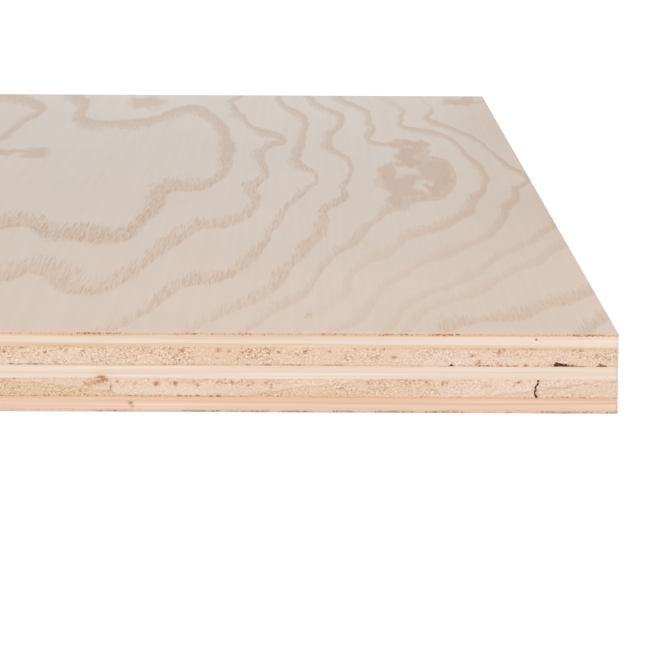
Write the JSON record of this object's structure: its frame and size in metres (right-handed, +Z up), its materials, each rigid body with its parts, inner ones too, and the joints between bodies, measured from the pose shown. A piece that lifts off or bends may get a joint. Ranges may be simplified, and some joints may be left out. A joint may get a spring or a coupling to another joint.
{
  "type": "oak-faced plywood panel",
  "caption": "Square plywood panel: thin rotary-cut oak face and back over crossed softwood plies, sawn edges with core gaps and a split, for furniture and joinery.",
  "frame": {"origin": "middle of the back, the face that the panel lies on", "axes": "+Z up out of the face; Y along the grain of the face, with the shown sawn end towards -Y; X across that grain"},
  "size_m": [0.61, 0.61, 0.018],
  "materials": {
    "oak_face": "sanded, unfinished rotary-cut oak",
    "pale_softwood": "sawn, smooth along the grain",
    "inner_softwood": "sawn, rough end grain on the shown end",
    "pink_softwood": "sawn, smooth along the grain",
    "oak_back": "sanded, unfinished rotary-cut oak"
  },
  "bodies": {
    "root": {"face_veneer": "oak_face", "upper_crossband": "pale_softwood", "upper_inner_ply": "inner_softwood", "core_ply": "pale_softwood", "lower_inner_ply": "inner_softwood", "lower_crossband": "pink_softwood", "back_veneer": "oak_back"}
  },
  "joints": []
}
